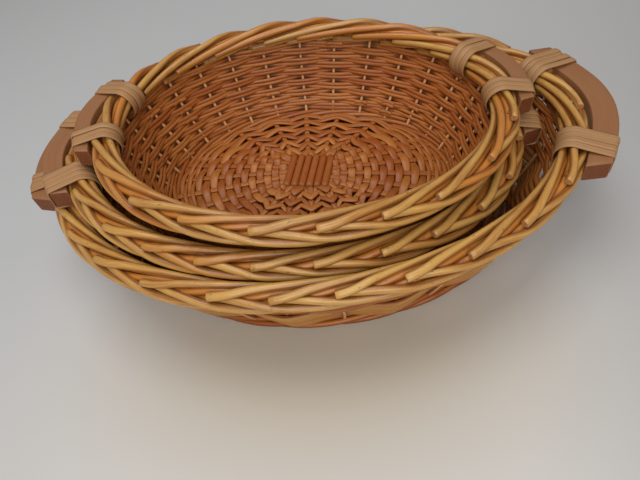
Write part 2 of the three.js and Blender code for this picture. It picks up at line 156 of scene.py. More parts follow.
class Basket:
    """One basket's own axes and sizes in millimetres, read from its CAD nodes."""

    def __init__(self, name):
        self.name = name
        self.own = OWN[name]
        self.body = f"{name}_basket"
        first = node_points(f"{name}_slath_stick_1")
        last = node_points(f"{name}_slath_stick_{SLATH_STICKS}")
        length = unit(last.mean(0) - first.mean(0))
        width = np.linalg.svd(first - first.mean(0), full_matrices=False)[2][0]
        width = unit(width - length * (length @ width))
        if width[1] < 0:
            width = -width
        self.axes = np.stack([length, width, np.cross(length, width)])
        self.origin = np.zeros(3)
        foot = self.local("foot_wale")
        middle = middle_of(foot)
        self.origin = np.array([middle[0], middle[1], foot.min(0)[2]]) @ self.axes
        foot = self.local("foot_wale")
        self.foot_x, self.foot_y, _ = half_extents(foot)
        self.foot_height = foot[:, 2].max()
        border = self.local("border")
        self.height = middle_of(border)[2]
        half_x, half_y, flat = half_extents(border)
        self.border_radius = flat / math.cos(math.pi / CAD_BORDER_SIDES)
        self.rim = Oval(half_x - self.border_radius, half_y - self.border_radius)
        side = self.local("side_weave")
        self.side_low = side[:, 2].min()
        self.side_height = side[:, 2].max() - self.side_low
        base = self.local("base_weave")
        self.base_x, self.base_y, _ = half_extents(base)
        self.base_top = base[:, 2].max()
        slath = np.concatenate([first, last]) @ self.axes.T - self.origin @ self.axes.T
        self.slath_x, self.slath_y, _ = half_extents(slath)

    def local(self, piece):
        """Corners of one of the basket's CAD nodes in the basket's own axes."""
        return (node_points(f"{self.name}_{piece}") - self.origin) @ self.axes.T

    def place(self, points):
        """Points in the basket's own axes, in millimetres, as places in the frame in metres."""
        return (points @ self.axes + self.origin) * MM

    def by_rim(self, share, out, up):
        """Places by the border's middle line: share of the way round, distance out and distance up."""
        return self.rim.places(share, out, self.height + up)

    def slope(self, settings):
        """How far the side leans out for each millimetre of its height."""
        run = self.rim.half_x - self.foot_x + (settings.tuck - settings.inset) / MM
        return run / self.side_height

    def on_side(self, share, rise, out, settings):
        """Places on the side: share of the way round, share of the height, distance out from its middle."""
        angle = FULL_TURN * share
        bow = settings.bow / MM * 4 * rise * (1 - rise)
        low = settings.tuck / MM * (1 - rise)
        high = settings.inset / MM * rise
        half_x = self.foot_x * (1 - rise) + self.rim.half_x * rise + bow - low - high
        half_y = self.foot_y * (1 - rise) + self.rim.half_y * rise + bow - low - high
        x, y, outward = by_oval(half_x, half_y, angle, out)
        z = self.side_low + self.side_height * rise
        return np.stack([x, y, z + 0 * x], -1), np.concatenate([outward, np.zeros_like(outward[..., :1])], -1)


BASKETS = [Basket(name) for name in OWN]


def smooth_keys(keys, count):
    """Even run of values through rows of keys, whose first column is where each row lies."""
    keys = np.array(keys, float)
    at = np.linspace(keys[0, 0], keys[-1, 0], count)
    slopes = np.gradient(keys, keys[:, 0], axis=0)
    i = np.clip(np.searchsorted(keys[:, 0], at) - 1, 0, len(keys) - 2)
    span = (keys[i + 1, 0] - keys[i, 0])[:, None]
    s = (at - keys[i, 0])[:, None] / span
    start = keys[i] * (1 + 2 * s) * (1 - s) ** 2 + slopes[i] * span * s * (1 - s) ** 2
    end = keys[i + 1] * s**2 * (3 - 2 * s) + slopes[i + 1] * span * s**2 * (s - 1)
    return start + end


def make_piece(basket, name, points, faces, cuts, marks, finishes, node):
    """Makes one mesh object with marks for its finish, which stands for a CAD node of the basket."""
    mesh = bpy.data.meshes.new(name)
    mesh.from_pydata(basket.place(points).tolist(), [], faces + cuts)
    for finish in finishes:
        mesh.materials.append(finish)
    cut = np.zeros(len(mesh.polygons), np.int32)
    cut[len(faces):] = 1
    mesh.polygons.foreach_set("material_index", cut)
    mesh.polygons.foreach_set("use_smooth", cut == 0)
    for mark, values in marks.items():
        kind, field = ("FLOAT_VECTOR", "vector") if values.ndim > 1 else ("FLOAT", "value")
        layer = mesh.attributes.new(mark, kind, "POINT")
        layer.data.foreach_set(field, values.astype(np.float32).ravel())
    mesh.update()
    piece = bpy.data.objects.new(name, mesh)
    bpy.context.scene.collection.objects.link(piece)
    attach(piece, basket.body)
    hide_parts(f"{basket.name}_{node}")


class Bundle:
    """Rods and strips gathered into one mesh, with the marks that their finish reads."""

    WORN_SIZE = 0.84
    WORN_LENGTH = 0.16
    GRAIN_SPREAD = 1000

    def __init__(self, seed):
        self.draw = random.Random(seed)
        self.points = []
        self.faces = []
        self.cuts = []
        self.marks = {"grain": [], "tone": [], "painted_hollow_shade": []}
        self.count = 0

    def rod(self, path, facing, across, through, sides=8, closed=False, tone=None, square=1.0, painted_hollow_shade=0.0):
        """Sweeps an oval along a path. Its half sizes are across, beside facing, and through, along it."""
        facing = np.broadcast_to(facing, path.shape)
        across, through, painted_hollow_shade = (np.broadcast_to(value, len(path)) for value in (across, through, painted_hollow_shade))
        if closed:
            tangent = unit(np.roll(path, -1, 0) - np.roll(path, 1, 0))
        else:
            tangent = unit(np.gradient(path, axis=0))
            first = path[0] - tangent[0] * across[0] * self.WORN_LENGTH
            last = path[-1] + tangent[-1] * across[-1] * self.WORN_LENGTH
            path = np.concatenate([[first], path, [last]])
            tangent, facing = (np.pad(value, ((1, 1), (0, 0)), mode="edge") for value in (tangent, facing))
            across, through, painted_hollow_shade = (np.pad(value, 1, mode="edge") for value in (across, through, painted_hollow_shade))
            worn = np.ones(len(path))
            worn[[0, -1]] = self.WORN_SIZE
            across = across * worn
            through = through * worn
        steps = len(path)
        beside = unit(np.cross(tangent, facing))
        above = np.cross(beside, tangent)
        turn = (np.arange(sides) + 0.5) * FULL_TURN / sides
        aside = np.sign(np.cos(turn)) * np.abs(np.cos(turn)) ** square
        upward = np.sign(np.sin(turn)) * np.abs(np.sin(turn)) ** square
        wide = (across[:, None] * aside)[..., None] * beside[:, None, :]
        thick = (through[:, None] * upward)[..., None] * above[:, None, :]
        self.points.append((path[:, None, :] + wide + thick).reshape(-1, 3))
        shade = self.draw.random() if tone is None else tone
        along = np.repeat(walked(path) + self.GRAIN_SPREAD * self.draw.random(), sides)
        self.marks["grain"].append(np.stack([along, np.tile(aside, steps), np.tile(upward, steps)], 1))
        self.marks["tone"].append(np.full(steps * sides, shade))
        # Mark for painted shade on the face of a weaver that is turned towards the stake it passes
        self.marks["painted_hollow_shade"].append((painted_hollow_shade[:, None] * -upward).ravel())
        ring = np.arange(sides)
        beyond = (ring + 1) % sides
        spans = np.arange(steps if closed else steps - 1)
        here = spans[:, None] * sides + self.count
        ahead = ((spans + 1) % steps)[:, None] * sides + self.count
        quads = np.stack([here + ring, ahead + ring, ahead + beyond, here + beyond], -1)
        self.faces += quads.reshape(-1, 4).tolist()
        if not closed:
            self.cuts.append((ring + self.count).tolist())
            self.cuts.append((ring[::-1] + self.count + (steps - 1) * sides).tolist())
        self.count += steps * sides

    def build(self, basket, piece, finishes, node):
        """Makes the mesh object, which stands for a CAD node of the basket."""
        points = np.concatenate(self.points)
        marks = {mark: np.concatenate(values) for mark, values in self.marks.items()}
        name = f"{basket.name}_{piece}"
        make_piece(basket, name, points, self.faces, self.cuts, marks, finishes, node)


def colour(rgb):
    """Colour property as the four values of a colour socket."""
    return (*rgb, 1.0)


class Nodes:
    """Shorthand for laying out one material's nodes."""

    def __init__(self, name):
        self.material = bpy.data.materials.new(name)
        self.material.use_nodes = True
        self.tree = self.material.node_tree
        self.shader = self.tree.nodes["Principled BSDF"]

    def add(self, kind, inputs=None, **settings):
        node = self.tree.nodes.new(kind)
        for key, value in settings.items():
            setattr(node, key, value)
        for key, value in (inputs or {}).items():
            self.feed(node.inputs[key], value)
        return node

    def feed(self, socket, value):
        if isinstance(value, bpy.types.NodeSocket):
            self.tree.links.new(value, socket)
        else:
            socket.default_value = value

    def mark(self, name, output="Fac"):
        """Value of one of the mesh's marks."""
        return self.add("ShaderNodeAttribute", attribute_name=name).outputs[output]

    def split(self, vector):
        """The three parts of a vector."""
        return self.add("ShaderNodeSeparateXYZ", {0: vector}).outputs

    def math(self, operation, a, b=0.0):
        return self.add("ShaderNodeMath", {0: a, 1: b}, operation=operation).outputs[0]

    def remap(self, value, low, high, to_low, to_high, kind="LINEAR"):
        inputs = {"Value": value, "From Min": low, "From Max": high, "To Min": to_low, "To Max": to_high}
        return self.add("ShaderNodeMapRange", inputs, interpolation_type=kind).outputs[0]

    def mix(self, share, a, b):
        node = self.add("ShaderNodeMix", {0: share, 6: a, 7: b}, data_type="RGBA")
        return node.outputs[2]

    def tint(self, shade, value, low, high, amount, rgb):
        """Blends in a colour, none of it where the value is low and the full amount where it is high."""
        return self.mix(self.remap(value, low, high, 0.0, amount), shade, colour(rgb))

    def noise(self, vector, scale, detail, roughness=0.55):
        inputs = {"Vector": vector, "Scale": scale, "Detail": detail, "Roughness": roughness}
        return self.add("ShaderNodeTexNoise", inputs).outputs["Fac"]

    def streaks(self, grain, along, around, scale=1.0, detail=2.0, roughness=0.55):
        """Noise drawn out along the grain."""
        inputs = {"Vector": grain, "Scale": (along, around, around)}
        return self.noise(self.add("ShaderNodeMapping", inputs).outputs[0], scale, detail, roughness)

    def finish(self, shade, rough, height, strength, distance, specular=0.5):
        """Feeds colour, roughness and bump to the shader and gives back the material."""
        self.feed(self.shader.inputs["Base Color"], shade)
        self.feed(self.shader.inputs["Roughness"], rough)
        bump = self.add("ShaderNodeBump", {"Strength": strength, "Distance": distance, "Height": height})
        self.feed(self.shader.inputs["Normal"], bump.outputs[0])
        self.shader.inputs["Specular IOR Level"].default_value = specular
        return self.material


def rod_finish(name, colours, settings, gloss, streak=0.6):
    """Peeled willow: streaks along each rod, riper rods here and there, dark scars, painted shade in the
    creases where rods touch and on weavers in the hollows beside a stake, and golden band rods left darker on
    their inner face as painted shade.
    """
    pale, deep, ripe, painted_crease_shade = colours
    n = Nodes(name)
    grain = n.mark("grain", "Vector")
    tone = n.mark("tone")
    face = n.split(grain)[2]
    fibres = n.streaks(grain, 0.06, 2.6, 1.6, 4.0, 0.6)
    clouds = n.streaks(grain, 0.035, 0.5)
    scars = n.streaks(grain, 0.22, 0.9, 1.3)
    depth = n.math("ADD", n.math("MULTIPLY", fibres, streak), n.math("MULTIPLY", clouds, 1.0 - streak))
    shade = n.tint(colour(pale), depth, 0.36, 0.64, 1.0, deep)
    shade = n.tint(shade, tone, 0.55, 1.0, 0.75, ripe)
    shade = n.tint(shade, tone, 0.3, 0.0, 0.85, pale)
    bare = n.math("MULTIPLY", n.remap(tone, -0.3, -0.1, 0.9, 0.0), n.remap(tone, -0.8, -0.6, 0.0, 1.0))
    shade = n.mix(bare, shade, colour(settings.peeled))
    golden = n.tint(colour(settings.straw), depth, 0.36, 0.64, 1.0, settings.gold)
    # Band rods are golden on their outer face; their inner face keeps the darker woven colour as painted
    # shade inside the wall
    golden_outside_shaded_inside = n.math("MULTIPLY", n.remap(tone, -1.0, -0.7, 0.9, 0.0), n.remap(face, -0.2, 0.2, 0.0, 1.0))
    shade = n.mix(golden_outside_shaded_inside, shade, golden)
    shade = n.tint(shade, scars, 0.66, 0.74, 0.6, settings.scar)
    # Painted shade: the sides of each rod, where it touches its neighbours, darken towards the crease colour
    shade = n.tint(shade, n.math("ABSOLUTE", face), 0.75, 0.05, 0.85, painted_crease_shade)
    # Painted shade on weavers in the hollows beside a stake
    shade = n.tint(shade, n.mark("painted_hollow_shade"), 0.25, 0.85, 0.9, settings.hollow_shade)
    rough = n.remap(depth, 0.3, 0.7, settings.roughness - 0.08, settings.roughness + 0.12)
    height = n.math("SUBTRACT", n.math("MULTIPLY", fibres, 0.5), n.remap(scars, 0.68, 0.76, 0.0, 0.6))
    n.shader.inputs["Coat Weight"].default_value = gloss
    n.shader.inputs["Coat Roughness"].default_value = 0.2
    return n.finish(shade, rough, height, strength=0.35, distance=0.0004, specular=0.3)


def cut_finish(name, pale, pith):
    """Cut end of a rod: pale wood with finer darker specks."""
    n = Nodes(name)
    specks = n.noise(n.add("ShaderNodeTexCoord").outputs["Object"], 900.0, 3.0)
    shade = n.tint(colour(pale), specks, 0.35, 0.7, 0.8, pith)
    return n.finish(shade, 0.75, specks, strength=0.3, distance=0.0003)


def handle_finish(name, settings, light, dark, worn, specular):
    """Oiled brown wood with grain lines along the bar, or its darker sawn end, less worn and less glossy."""
    n = Nodes(name)
    grain = n.mark("grain", "Vector")
    lines = n.streaks(grain, 0.012, 0.75, 1.0, 5.0, 0.62)
    pores = n.streaks(grain, 0.10, 6.0)
    clouds = n.streaks(grain, 0.02, 0.12)
    shade = n.tint(colour(light), lines, 0.35, 0.65, 1.0, dark)
    shade = n.tint(shade, clouds, 0.4, 0.75, worn, settings.worn)
    shade = n.tint(shade, pores, 0.62, 0.75, 0.5, dark)
    height = n.math("SUBTRACT", n.math("MULTIPLY", lines, 0.4), n.remap(pores, 0.6, 0.75, 0.0, 0.5))
    rough = n.remap(lines, 0.3, 0.7, 0.38, 0.55)
    return n.finish(shade, rough, height, strength=0.25, distance=0.0003, specular=specular)


def skein_finish(name, settings):
    """Split willow skein: a pale strip with fine fibre lines and darker edges."""
    n = Nodes(name)
    grain = n.mark("grain", "Vector")
    fibres = n.streaks(grain, 0.015, 5.5, 1.0, 4.0, 0.65)
    shade = n.tint(colour(settings.pale), fibres, 0.35, 0.65, 1.0, settings.fibre)
    shade = n.tint(shade, n.streaks(grain, 0.05, 0.6), 0.45, 0.8, 0.5, settings.deep)
    shade = n.tint(shade, n.mark("tone"), 0.3, 1.0, 0.4, settings.deep)
    shade = n.tint(shade, n.math("ABSOLUTE", n.split(grain)[1]), 0.80, 1.0, 0.55, settings.fibre)
    rough = n.remap(fibres, 0.3, 0.7, 0.45, 0.65)
    return n.finish(shade, rough, fibres, strength=0.5, distance=0.0004)


def willow(scene, kind):
    """Finishes of one kind of willow work and of its cut ends, made once and then shared."""
    made = bpy.data.materials
    if "cut_willow_finish" not in made:
        w = scene.nest_willow
        woven = (w.tan, w.russet, w.chestnut, w.side_crease_shade)
        rod_finish("border_willow_finish", (w.straw, w.gold, w.amber, w.border_crease_shade), w, gloss=0.5)
        rod_finish("woven_willow_finish", woven, w, gloss=0.1)
        rod_finish("floor_willow_finish", woven, w, gloss=0.1, streak=0.75)
        cut_finish("cut_willow_finish", w.cut, w.pith)
    return made[f"{kind}_willow_finish"], made["cut_willow_finish"]


def length_value(name, description, default):
    """Length in metres that a user may change."""
    return FloatProperty(
        name=name, description=description, default=default, unit="LENGTH", min=0.0, precision=5
    )


def colour_value(name, description, default):
    """Colour that a user may change."""
    return FloatVectorProperty(
        name=name, description=description, default=default, size=3, subtype="COLOR", min=0.0, max=1.0
    )


def count_values(name, description, default):
    """Counts for the large, the medium and the small basket that a user may change."""
    return IntVectorProperty(name=name, description=description, default=default, size=3, min=9)


class NEST_PG_willow(bpy.types.PropertyGroup):
    """Colours and gloss of the peeled willow, with painted shade for its creases and hollows."""

    straw: colour_value("Straw", "Palest border rods", (0.56, 0.310, 0.075))
    gold: colour_value("Gold", "Deeper streaks of the border rods", (0.36, 0.152, 0.032))
    amber: colour_value("Amber", "Ripest border rods", (0.46, 0.140, 0.014))
    tan: colour_value("Tan", "Palest rods of the side and floor", (0.44, 0.150, 0.030))
    russet: colour_value("Russet", "Deeper streaks of the side and floor", (0.255, 0.063, 0.009))
    chestnut: colour_value("Chestnut", "Ripest rods of the side and floor", (0.29, 0.062, 0.008))
    # Painted shade in the creases where border rods, and side and floor rods, touch their neighbours
    border_crease_shade: colour_value("Border crease", "Border rods where they touch", (0.20, 0.052, 0.005))
    side_crease_shade: colour_value("Side crease", "Side and floor rods where they touch", (0.19, 0.042, 0.006))
    # Painted shade for weavers in the hollows beside a stake
    hollow_shade: colour_value("Hollow", "Weavers in the hollows beside a stake", (0.085, 0.020, 0.004))
    peeled: colour_value("Peeled", "Pale upright stakes", (0.68, 0.350, 0.150))
    scar: colour_value("Scar", "Small dark bark scars", (0.13, 0.045, 0.012))
    cut: colour_value("Cut", "Cut end of a rod", (0.50, 0.23, 0.075))
    pith: colour_value("Pith", "Specks in a cut end", (0.30, 0.115, 0.030))
    roughness: FloatProperty(name="Roughness", description="Mean for a rod", default=0.42, min=0.1, max=1.0)


class NEST_PG_border(bpy.types.PropertyGroup):
    """Plaited border."""

    rods: count_values("Rods", "Rods round the large, medium and small border", (26, 24, 20))
    rod_radius: length_value("Rod radius", "Radius of an outer border rod", 0.0027)
    core_radius: length_value("Core radius", "Radius of a rod inside the border", 0.0027)


class NEST_PG_side(bpy.types.PropertyGroup):
    """Woven side."""

    stakes: count_values("Stakes", "Stakes round the large, medium and small side", (30, 26, 28))
    stake_radius: length_value("Stake radius", "Radius of an upright stake", 0.00135)
    weaver_half: length_value("Weaver half height", "Half the height of one weaver of a doubled row", 0.00150)
    weaver_thin: length_value("Weaver half thickness", "Half the thickness of a weaver", 0.00115)
    row_height: length_value("Row height", "Height of one doubled row", 0.0042)
    swing: length_value("Swing", "How far a weaver swings out of the middle round a stake", 0.0015)
    bow: length_value("Bow", "How far the side bows out at half height", 0.0015)
    tuck: length_value("Tuck", "How far the side stands in from the foot's outer edge", 0.0037)
    inset: length_value("Inset", "How far the side stands in from the rim's middle line", 0.0020)


class NEST_PG_floor(bpy.types.PropertyGroup):
    """Woven floor."""

    stick_radius: length_value("Stick radius", "Radius of a base stick", 0.0016)
    round_pitch: length_value("Round pitch", "Distance from one round of the floor to the next", 0.0066)
    strip_half: length_value("Strip half width", "Half the width of a floor weaver", 0.0031)
    strip_thin: length_value("Strip half thickness", "Half the thickness of a floor weaver", 0.0009)
    swing: length_value("Swing", "How far a floor weaver rises over a stick", 0.0017)
    zigzag: length_value("Zigzag", "How far the strips step out over the front and back sticks", 0.0075)


class NEST_PG_handle(bpy.types.PropertyGroup):
    """Wooden handles."""

    thickness: length_value("Thickness", "Height of the bar", 0.0140)
    rounding: length_value("Rounding", "Rounding of the bar's long edges", 0.0010)
    end_taper: length_value("End taper", "How much narrower the bar is at its ends", 0.0030)
    end_gap: length_value("End gap", "How far the bar's ends stand off the border", 0.0015)
    wood: colour_value("Wood", "Oiled wood", (0.275, 0.118, 0.045))
    deep: colour_value("Deep", "Grain lines", (0.245, 0.101, 0.038))
    worn: colour_value("Worn", "Paler worn wood", (0.30, 0.140, 0.062))
    sawn: colour_value("Sawn", "Sawn ends", (0.205, 0.068, 0.026))
    end_grain: colour_value("End grain", "Darker rings of the sawn ends", (0.150, 0.043, 0.015))


class NEST_PG_lashing(bpy.types.PropertyGroup):
    """Split skein lashings."""

    strip_half: length_value("Strip half width", "Half the width of the strip", 0.0028)
    strip_thin: length_value("Strip half thickness", "Half the thickness of the strip", 0.0005)
    pitch: length_value("Pitch", "Distance from one loop to the next", 0.0050)
    pale: colour_value("Pale", "Skin of the strip", (0.44, 0.245, 0.110))
    fibre: colour_value("Fibre", "Fibre lines", (0.30, 0.142, 0.050))
    deep: colour_value("Deep", "Darker patches", (0.34, 0.165, 0.056))


class NEST_PG_stage(bpy.types.PropertyGroup):
    """Floor, light and camera."""

    # Floor colours with painted light: near is the lit floor towards the camera, far the painted fall-off of
    # light behind the nest
    near: colour_value("Near", "Pale floor towards the camera", (0.595, 0.562, 0.520))
    far: colour_value("Far", "Floor behind the nest", (0.485, 0.485, 0.487))
    # Painted shadow on the floor to the right of the nest
    right: colour_value("Right", "Floor to the right of the nest", (0.33, 0.318, 0.300))
    # Painted shadow before the nest, warmed as by light bounced off the baskets
    painted_bounce_shadow: colour_value("Bounce", "Warm floor before the nest", (0.47, 0.408, 0.315))
    key_power: FloatProperty(name="Key power", description="Main lamp", default=7.5, subtype="POWER")
    fill_power: FloatProperty(name="Fill power", description="Fill lamp", default=15.0, subtype="POWER")
    sky: FloatProperty(name="Sky", description="Strength of the even light all round", default=0.26, min=0.0)
    lens: FloatProperty(name="Lens", description="Length for a 36 mm sensor", default=28.7477, unit="CAMERA")


# Border rods: pitches walked, angle in the border's section from its outer side upwards, and distance from
# the section's middle
OVER_KEYS = [(-0.10, 48, 8.5), (0.1, 55, 8.4), (0.5, 84, 7.8), (1.0, 113, 7.3), (1.5, 138, 7.0),
             (2.0, 161, 6.8), (2.5, 184, 6.7), (2.75, 195, 6.6)]
UNDER_KEYS = [(0.05, 44, 4.6), (0.3, 36, 6.2), (0.6, 22, 7.3), (0.9, 4, 8.1), (1.05, -3, 8.3), (1.3, -8, 8.3),
              (1.7, -17, 7.9), (2.0, -38, 6.8), (2.3, -60, 6.3), (2.7, -85, 6.0), (3.1, -108, 5.5)]
INNER_KEYS = [(1.9, 196, 2.2), (2.2, 214, 4.6), (2.5, 226, 6.3), (2.8, 234, 7.0), (3.05, 239, 7.3)]

# The three runs of each border rod: keys, radius at both ends as shares of the rod's, and steps
BORDER_RUNS = ((OVER_KEYS, 1.06, 0.92, 34), (UNDER_KEYS, 1.0, 0.84, 34), (INNER_KEYS, 0.84, 0.92, 14))


class NEST_OT_borders(bpy.types.Operator):
    """Plaits the border of each basket from rods with cut butts outside and cut tips inside"""

    bl_idname = "nest.borders"
    bl_label = "Plait the borders"

    CORE_RODS = 3
    CORE_REACH = 1.16
    CORE_STEPS = 10
    ROD_SIDES = 12
    FLATNESS = 0.96
    WOBBLE = 0.03
    # How much rods differ: place in pitches, share of the length, angle in degrees and millimetres of reach
    PLACE_SPREAD = 0.10
    LENGTH_SPREAD = 0.04
    ANGLE_SPREAD = 4
    REACH_SPREAD = 0.25
    SWAY_ANGLE = 2.2
    SWAY_REACH = 0.2
    # Length of a butt in pitches, and how much lower and nearer butts lie at the back
    BUTT_PITCHES = 0.9
    BACK_ANGLE = 38
    BACK_REACH = 1.0

    def execute(self, context):
        settings = context.scene.nest_border
        radius = settings.rod_radius / MM
        for number, basket in enumerate(BASKETS):
            bundle = Bundle(SEEDS["border"] + number)
            count = settings.rods[number]
            for j in range(count):
                shift = bundle.draw.uniform(-self.PLACE_SPREAD, self.PLACE_SPREAD)
                place = j + basket.own["first_rod"] + shift
                for keys, thick, thin, steps in BORDER_RUNS:
                    self.lay(bundle, basket, count, place, keys, radius * thick, radius * thin, steps)
            self.core(bundle, basket, count, settings.core_radius / MM)
            bundle.build(basket, "border_rods", willow(context.scene, "border"), "border")
        return {"FINISHED"}

    def lay(self, bundle, basket, count, place, keys, thick, thin, steps):
        """One run of a border rod along its keys. Butts at the back lie lower than those at the front."""
        draw = bundle.draw
        run = smooth_keys(keys, steps)
        stretch = 1 + draw.uniform(-self.LENGTH_SPREAD, self.LENGTH_SPREAD)
        share = (place + run[:, 0] * stretch) / count
        sway = np.sin(np.linspace(0, draw.uniform(5, 9), steps) + draw.uniform(0, FULL_TURN))
        behind = np.clip(0.35 + 1.3 * np.sin(basket.rim.angle(share)), 0, 1)
        behind = behind * np.clip(1 - run[:, 0] / self.BUTT_PITCHES, 0, 1)
        turn = draw.uniform(-self.ANGLE_SPREAD, self.ANGLE_SPREAD)
        angle = np.radians(run[:, 1] - self.BACK_ANGLE * behind + turn + self.SWAY_ANGLE * sway)
        shift = draw.uniform(-self.REACH_SPREAD, self.REACH_SPREAD)
        sway = np.roll(sway, steps // 4)
        reach = run[:, 2] - self.BACK_REACH * behind + shift + self.SWAY_REACH * sway
        path = basket.by_rim(share, reach * np.cos(angle), reach * np.sin(angle))
        middle = basket.by_rim(share, 0, 0)
        size = draw.uniform(0.90, 1.08) * np.linspace(thick, thin, steps)
        size = size * (1 + self.WOBBLE * np.sin(np.linspace(0, 9, steps) + draw.uniform(0, 6)))
        tone = draw.uniform(*basket.own["tones"])
        bundle.rod(path, unit(path - middle), size, size * self.FLATNESS, self.ROD_SIDES, tone=tone)

    def core(self, bundle, basket, count, radius):
        """Rods twisted together inside the border."""
        steps = count * self.CORE_STEPS
        share = np.arange(steps) / steps
        reach = radius * self.CORE_REACH
        for strand in range(self.CORE_RODS):
            angle = FULL_TURN * (round(count / self.CORE_RODS) * share + strand / self.CORE_RODS)
            path = basket.by_rim(share, reach * np.cos(angle), reach * np.sin(angle))
            # Ripest tone for the whole core: painted glow of bounced light seen through the gaps between rods
            bundle.rod(path, UP, radius, radius, 10, closed=True, tone=CORE_GLOW_TONE)


class NEST_OT_sides(bpy.types.Operator):
    """Weaves each side from upright stakes and doubled weavers, the large one with a broad first band"""

    bl_idname = "nest.sides"
    bl_label = "Weave the sides"

    # Tight first rows, which hold the stakes as they turn up, and places of the two weavers in a row's height
    TIGHT_ROWS = 2
    LOWER_WEAVER = 0.19
    WEAVER_STEP = 0.62
    STAKE_STEPS = 16
    STAKE_RISE = (-0.06, 1.1)
    STAKE_TAPER = (1.08, 0.92)
    # Weavers: steps for each stake, taper, overlap at both ends in stakes, and how they come to rest there
    WEAVER_STEPS = 8
    WEAVER_TAPER = (1.05, 0.96)
    LAP = (0.2, 0.25)
    REST_STAKES = 0.5
    REST_DEPTH = 1.5
    # Share of the full swing from which a weaver gets painted shade in the hollow beside a stake
    HOLLOW_SHADE_FROM = 0.55
    # Broad first band of the large basket: rows that it takes up, rods side by side, their steps for each
    # stake, sharpness of their turns, and their swing and half sizes in millimetres
    BAND_ROWS = 8
    BAND_RODS = 6
    BAND_STEPS = 12
    BAND_POINT = 0.97
    BAND_SWING = 3.8
    BAND_HALF = 2.9
    BAND_THIN = 1.7

    def execute(self, context):
        settings = context.scene.nest_side
        for number, basket in enumerate(BASKETS):
            bundle = Bundle(SEEDS["side"] + number)
            count = settings.stakes[number]
            for j in range(count):
                self.stake(bundle, basket, settings, j / count)
            rows = round(basket.side_height * MM / settings.row_height)
            banded = basket.name == "large"
            for row in range(self.BAND_ROWS if banded else 0, rows):
                for strand in range(2):
                    rise = (row + self.LOWER_WEAVER + self.WEAVER_STEP * strand) / rows
                    self.weaver(bundle, basket, settings, count, row, rise)
            if banded:
                self.band(bundle, basket, settings, count, rows)
            bundle.build(basket, "side_rods", willow(context.scene, "woven"), "side_weave")
        return {"FINISHED"}

    def stake(self, bundle, basket, settings, share):
        """One upright stake from the foot up into the border."""
        draw = bundle.draw
        rise = np.linspace(*self.STAKE_RISE, self.STAKE_STEPS)
        place = share + draw.uniform(-0.001, 0.001) + 0.0006 * np.sin(rise * draw.uniform(2, 5))
        path, outward = basket.on_side(place, rise, 0.0, settings)
        taper = np.linspace(*self.STAKE_TAPER, self.STAKE_STEPS)
        size = settings.stake_radius / MM * draw.uniform(0.92, 1.1) * taper
        bundle.rod(path, outward, size, size, 8, tone=draw.uniform(*STAKE_TONE))

    def weaver(self, bundle, basket, settings, count, row, rise):
        """One round of weaving, made of two rods whose ends rest inside a stake."""
        draw = bundle.draw
        start = draw.randrange(count)
        half_way = start + count // 2
        phase = draw.uniform(0, FULL_TURN)
        slope = basket.slope(settings)
        tight = row < self.TIGHT_ROWS
        deep = basket.own["swing"] * (0.5 if tight else 1.0)
        for low, high in ((start, half_way), (half_way, start + count)):
            steps = int((high - low + 0.5) * self.WEAVER_STEPS)
            at = np.linspace(low - self.LAP[0], high + self.LAP[1], steps)
            wave = np.cos(math.pi * (at + row))
            swing = -settings.swing * deep / MM * wave * (1 + 0.06 * np.sin(at * 1.7 + phase))
            for end in (at - at[0], at[-1] - at):
                swing = swing - self.REST_DEPTH * np.clip(1 - end / self.REST_STAKES, 0, 1) ** 2
            lift = 0.0035 * np.sin(at * 0.9 + phase) + 0.003 * np.sin(at * 2.3 + 2 * phase)
            path, outward = basket.on_side(at / count, rise + lift, swing, settings)
            size = draw.uniform(0.95, 1.06) * np.linspace(*self.WEAVER_TAPER, steps)
            half = settings.weaver_half / MM * size * math.hypot(1, slope)
            tone = draw.uniform(*TIGHT_TONE) if tight else draw.random()
            # Painted shade on the weaver's face turned towards the stake, deepest at the full swing
            hollow_shade = (np.abs(wave) - self.HOLLOW_SHADE_FROM) / (1 - self.HOLLOW_SHADE_FROM)
            painted_hollow_shade = np.sign(-wave) * np.clip(hollow_shade, 0, 1)
            facing = unit(outward - slope * UP)
            bundle.rod(path, facing, half, settings.weaver_thin / MM * size, 8, tone=tone, painted_hollow_shade=painted_hollow_shade)

    def band(self, bundle, basket, settings, count, rows):
        """Broad first band: rods that pass together outside one stake and inside the next."""
        draw = bundle.draw
        at = np.arange(count * self.BAND_STEPS) / self.BAND_STEPS
        wave = np.arcsin(self.BAND_POINT * np.cos(math.pi * at)) / math.asin(self.BAND_POINT)
        for strand in range(self.BAND_RODS):
            swing = self.BAND_SWING * wave * draw.uniform(0.94, 1.04)
            lift = 0.002 * np.sin(at * FULL_TURN * 3 / count + draw.uniform(0, FULL_TURN))
            rise = self.BAND_ROWS * (strand + 0.5) / self.BAND_RODS / rows + lift
            path, outward = basket.on_side(at / count, rise, swing, settings)
            size = draw.uniform(0.94, 1.06)
            facing = unit(outward - basket.slope(settings) * UP)
            tone = draw.uniform(*BAND_TONE)
            bundle.rod(path, facing, self.BAND_HALF * size, self.BAND_THIN * size, 8, closed=True, tone=tone)


